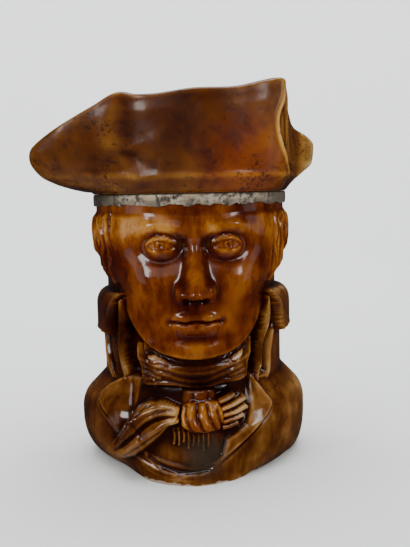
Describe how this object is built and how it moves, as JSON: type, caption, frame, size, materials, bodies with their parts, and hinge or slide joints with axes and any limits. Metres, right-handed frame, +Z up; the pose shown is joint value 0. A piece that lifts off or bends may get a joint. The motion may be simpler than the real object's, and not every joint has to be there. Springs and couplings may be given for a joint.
{
  "type": "figural tobacco jar with lid",
  "caption": "Glazed pottery tobacco jar shaped as a head and shoulders, with a metal band on its mouth and a cocked hat as loose lid.",
  "frame": {"origin": "centre of the flat underside, on the axis of the round mouth", "axes": "+Z up along the axis of the mouth, the face looks along -Y, +X is the figure's left side"},
  "size_m": [0.1327, 0.1123, 0.17],
  "materials": {
    "treacle_glaze": "glossy amber-brown lead glaze over earthenware",
    "mottled_metal": "dull grey mottled soft metal",
    "brown_glaze": "glossy brown lead glaze with dark specks over earthenware"
  },
  "bodies": {
    "root": {"jar_body": "treacle_glaze", "rim_band": "mottled_metal", "hat_lid": "brown_glaze"}
  },
  "joints": []
}
